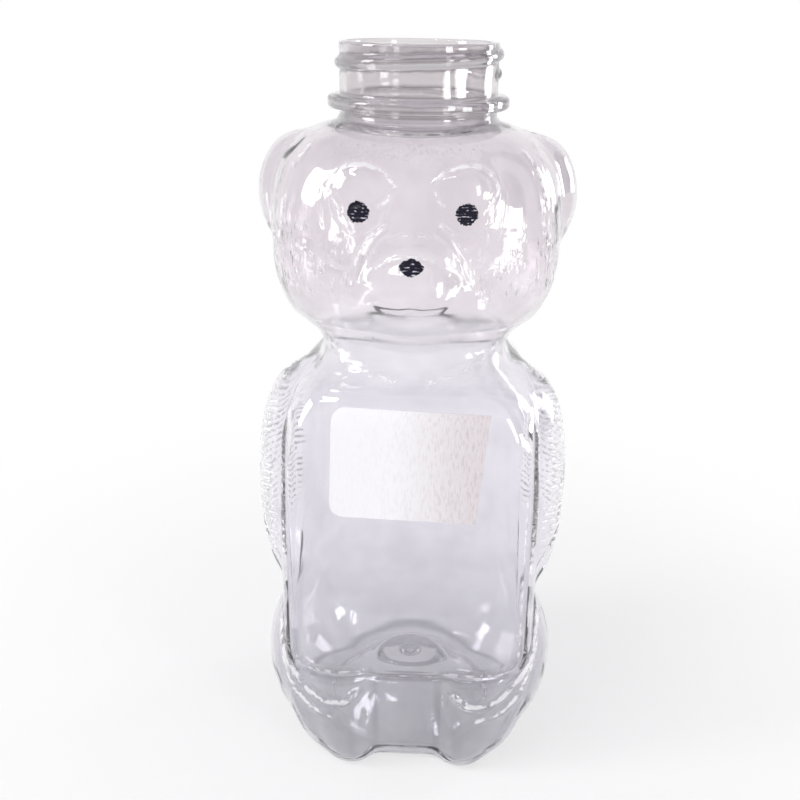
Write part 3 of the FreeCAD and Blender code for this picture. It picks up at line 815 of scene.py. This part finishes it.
for vert in bm.verts:
    cut = right - LABEL_CUT_LEAN * (top - vert.co.z) / LABEL_HEIGHT
    if abs(vert.co.x - cut) < HAIR_GAP:
        vert.co.x -= LABEL_RAGGED * noise.random()
bmesh.ops.rotate(bm, verts=bm.verts, cent=(0, 0, 0), matrix=Matrix.Rotation(LABEL_TURN, 3, "Y"))
bmesh.ops.translate(bm, verts=bm.verts, vec=LABEL_CENTRE)
laid_on_skin(bm, LABEL_SEAT, LABEL_FILM)
for vert in bm.verts:
    vert.co.y -= LABEL_RIPPLE * max(noise.noise(Vector((vert.co.x, 0, vert.co.z)) * RIPPLES_PER_METRE), 0)
label = made(bm, "sticker", paper)
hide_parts("label")

# The eyes and the nose are printed with a soft pad in black ink, after the bear was blown.
# The ink missed the hollows of the mould's fine grain, so that its edges are toothed and rows of
# light flecks show in it.
INK_SIDES = 60
INK_RINGS = 6
INK_TOOTH = 0.10
INK_SEAT = 0.03 * MM
INK_FILM = 0.08 * MM
NOSE_POINT = 0.3
# Each spot: its middle across and up, its width and height, and how pointed its two ends are.
SPOTS = {
    "eye_left": (-11.1, 140.0, 4.5, 4.5, 0.0),
    "eye_right": (11.1, 140.0, 4.5, 4.5, 0.0),
    "nose": (0.0, 129.5, 5.0, 3.2, NOSE_POINT),
}
INK_BLACK = (0.010, 0.009, 0.020, 1)
INK_FLECK = (0.62, 0.60, 0.68, 1)
FLECK_ROWS_PER_METRE = 1500
FLECK_STRETCH = (0.45, 1.0, 1.0)
FLECK_ROW_EDGE = (0.1, 0.6)
FLECKS_PER_METRE, FLECK_EDGE = 2600, (0.53, 0.62)
INK_RELIEF, INK_DEPTH = 0.4, 0.00005
INK_ROUGH = (0.42, 0.6)
INK_SHEEN = 0.15
ink, start = finish("black_ink")
place = start.node("ShaderNodeTexCoord", {}, {}, "Object")
up = start.node("ShaderNodeSeparateXYZ", {}, {"Vector": place}, "Z")
level = start.node("ShaderNodeVectorMath", {"operation": "MULTIPLY"}, {0: place, 1: FLECK_STRETCH})
rows = up.math("SINE", up * (2 * math.pi * FLECK_ROWS_PER_METRE)).spread(*FLECK_ROW_EDGE)
missed = level.noise(FLECKS_PER_METRE).spread(*FLECK_EDGE)
flecks = rows * missed
bumps = start.node("ShaderNodeBump", {}, {"Height": flecks, "Strength": INK_RELIEF, "Distance": INK_DEPTH})
surface = start.node(
    "ShaderNodeBsdfPrincipled",
    {},
    {
        "Base Color": flecks.blend(INK_BLACK, INK_FLECK),
        "Roughness": missed.spread(0, 1, *INK_ROUGH),
        "Specular IOR Level": INK_SHEEN,
        "Normal": bumps,
    },
)
start.node("ShaderNodeOutputMaterial", {}, {"Surface": surface})
for name, (x, z, width, height, point) in SPOTS.items():
    bm = bmesh.new()
    bmesh.ops.create_circle(bm, cap_ends=True, segments=INK_SIDES, radius=1)
    outline = bm.verts[:]
    for _ in range(INK_RINGS):
        middle = min(bm.faces, key=lambda face: face.calc_center_median().length)
        bmesh.ops.inset_region(bm, faces=[middle], thickness=1 / (INK_RINGS + 1))
    for vert in outline:
        vert.co *= 1 + INK_TOOTH * (2 * noise.random() - 1)
    for vert in bm.verts:
        lift = vert.co.y * (1 - point * vert.co.x**2)
        vert.co = Vector((x + vert.co.x * width / 2, 0, z + lift * height / 2)) * MM
    laid_on_skin(bm, INK_SEAT, INK_FILM)
    spot = made(bm, f"ink_{name}", ink)
    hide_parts(name)

# The studio is a pale floor under an even white sky, with window-shaped lamps round the bear.
FLOOR_SIZE = 4.0
bm = bmesh.new()
bmesh.ops.create_grid(bm, x_segments=1, y_segments=1, size=FLOOR_SIZE / 2)
mesh = bpy.data.meshes.new("floor")
bm.to_mesh(mesh)
bm.free()
floor = bpy.data.objects.new("floor", mesh)
bpy.context.scene.collection.objects.link(floor)
WHITE = (1, 1, 1, 1)
FLOOR_PALE = (0.92, 0.92, 0.93, 1)
FLOOR_NEAR, FLOOR_FAR = 0.04, 0.22
FLOOR_GLOW = 0.62
sheet, start = finish("floor_sheet")
lit = start.node("ShaderNodeBsdfDiffuse", {}, {"Color": FLOOR_PALE})
glow = start.node("ShaderNodeEmission", {}, {"Color": WHITE, "Strength": 1.0})
seen = start.node("ShaderNodeLightPath", {}, {}, "Is Camera Ray")
through = start.node("ShaderNodeLightPath", {}, {}, "Is Transmission Ray")
mirrored = start.node("ShaderNodeLightPath", {}, {}, "Is Glossy Ray")
place = start.node("ShaderNodeTexCoord", {}, {}, "Object")
away = start.node("ShaderNodeVectorMath", {"operation": "LENGTH"}, {0: place}, "Value")
bright = away.spread(FLOOR_NEAR, FLOOR_FAR, FLOOR_GLOW, 1.0)
shown = start.math("MAXIMUM", seen, start.math("MAXIMUM", through, mirrored))
mix = start.node("ShaderNodeMixShader", {}, {"Fac": shown * bright, 1: lit, 2: glow})
start.node("ShaderNodeOutputMaterial", {}, {"Surface": mix})
floor.data.materials.append(sheet)

# The room is white, with a grey ceiling and two dark upright screens on the right: the camera sees
# only white, and the clear walls show the dark parts along their edges and creases.
ROOM_GREY = (0.45, 0.44, 0.465, 1)
ROOM_DARK = (0.10, 0.10, 0.12, 1)
CEILING_GREY = (0.66, 0.65, 0.67, 1)
CEILING_LOW, CEILING_HIGH = 0.45, 0.75
SCREEN_TURN = -0.64
SCREEN_HALF = 0.24
SCREEN_SOFT = 0.10
SCREEN_SIDE = (-0.1, 0.1)
TINY = 1e-6
world = bpy.data.worlds.new("studio")
world.use_nodes = True
world.node_tree.nodes.clear()
bpy.context.scene.world = world
start = Wire(world.node_tree)
way = start.node("ShaderNodeTexCoord", {}, {}, "Generated")
side = start.node("ShaderNodeSeparateXYZ", {}, {"Vector": way}, "X")
ahead = start.node("ShaderNodeSeparateXYZ", {}, {"Vector": way}, "Y")
rise = start.node("ShaderNodeSeparateXYZ", {}, {"Vector": way}, "Z")
ahead_square, side_square = ahead * ahead, side * side
turn = start.math("DIVIDE", ahead_square - side_square, ahead_square + side_square + TINY)
off_screen = start.math("ABSOLUTE", turn - SCREEN_TURN)
screens = 1 - off_screen.spread(SCREEN_HALF, SCREEN_HALF + SCREEN_SOFT)
ceiling = rise.spread(CEILING_LOW, CEILING_HIGH)
screens = screens * side.spread(*SCREEN_SIDE)
room_colour = screens.blend(ceiling.blend(WHITE, CEILING_GREY), ROOM_DARK)
room = start.node("ShaderNodeBackground", {}, {"Color": room_colour, "Strength": 1.0})
fill = start.node("ShaderNodeBackground", {}, {"Color": ROOM_GREY, "Strength": 1.0})
white = start.node("ShaderNodeBackground", {}, {"Color": WHITE, "Strength": 1.0})
seen = start.node("ShaderNodeLightPath", {}, {}, "Is Camera Ray")
through = start.node("ShaderNodeLightPath", {}, {}, "Is Transmission Ray")
mirrored = start.node("ShaderNodeLightPath", {}, {}, "Is Glossy Ray")
bent = start.math("MAXIMUM", through, mirrored)
sky = start.node("ShaderNodeMixShader", {}, {"Fac": bent, 1: fill, 2: room})
sky = start.node("ShaderNodeMixShader", {}, {"Fac": seen, 1: sky, 2: white})
start.node("ShaderNodeOutputWorld", {}, {"Surface": sky})

# Light runs on inside the clear walls for many turns before it leaves them.
LIGHT_TURNS = 32
bpy.context.scene.cycles.max_bounces = LIGHT_TURNS
bpy.context.scene.cycles.glossy_bounces = LIGHT_TURNS
bpy.context.scene.cycles.transmission_bounces = LIGHT_TURNS


# Each window is a lamp: its place, its width and height in metres, and its power in watts. All of
# them face the middle of the bear.
BEAR_MIDDLE = Vector((0, 0, 90 * MM))
WINDOWS = {
    "window_left": ((-0.58, -0.16, 0.34), 0.18, 0.36, 2.2),
    "window_right": ((0.45, -0.48, 0.22), 0.10, 0.30, 1.0),
    "window_far": ((0.55, 0.35, 0.22), 0.14, 0.30, 1.0),
    "window_low": ((0.50, -0.24, 0.09), 0.14, 0.12, 0.55),
    "lamp_above": ((-0.30, -0.30, 0.68), 0.26, 0.06, 0.9),
}
for name, (place, width, height, power) in WINDOWS.items():
    lamp = bpy.data.lights.new(name, "AREA")
    lamp.shape = "RECTANGLE"
    lamp.size = width
    lamp.size_y = height
    lamp.energy = power
    piece = bpy.data.objects.new(name, lamp)
    aim = BEAR_MIDDLE - Vector(place)
    piece.matrix_world = Matrix.Translation(place) @ aim.to_track_quat("-Z", "Y").to_matrix().to_4x4()
    bpy.context.scene.collection.objects.link(piece)

# The camera stands close in front and looks down a little.
CAMERA_DISTANCE = 230 * MM
CAMERA_HEIGHT = 180 * MM
CAMERA_AZIMUTH = math.radians(1.8)
CAMERA_PITCH = math.radians(21.5)
CAMERA_ROLL = math.radians(0.9)
CAMERA_SENSOR, CAMERA_LENS = 36, 45
CAMERA_NEAR = 10 * MM
PHOTO_WIDTH = 800
SHIFT_ACROSS, SHIFT_UP = -14 / PHOTO_WIDTH, -5 / PHOTO_WIDTH
camera_data = bpy.data.cameras.new("camera")
camera_data.sensor_width = CAMERA_SENSOR
camera_data.lens = CAMERA_LENS
camera_data.shift_x = SHIFT_ACROSS
camera_data.shift_y = SHIFT_UP
camera_data.clip_start = CAMERA_NEAR
camera = bpy.data.objects.new("camera", camera_data)
camera.matrix_world = (
    Matrix.Rotation(CAMERA_AZIMUTH, 4, "Z")
    @ Matrix.Translation((0, -CAMERA_DISTANCE, CAMERA_HEIGHT))
    @ Matrix.Rotation(math.pi / 2 - CAMERA_PITCH, 4, "X")
    @ Matrix.Rotation(CAMERA_ROLL, 4, "Z")
)
bpy.context.scene.collection.objects.link(camera)
bpy.context.scene.camera = camera
bpy.context.scene.view_settings.view_transform = "Standard"
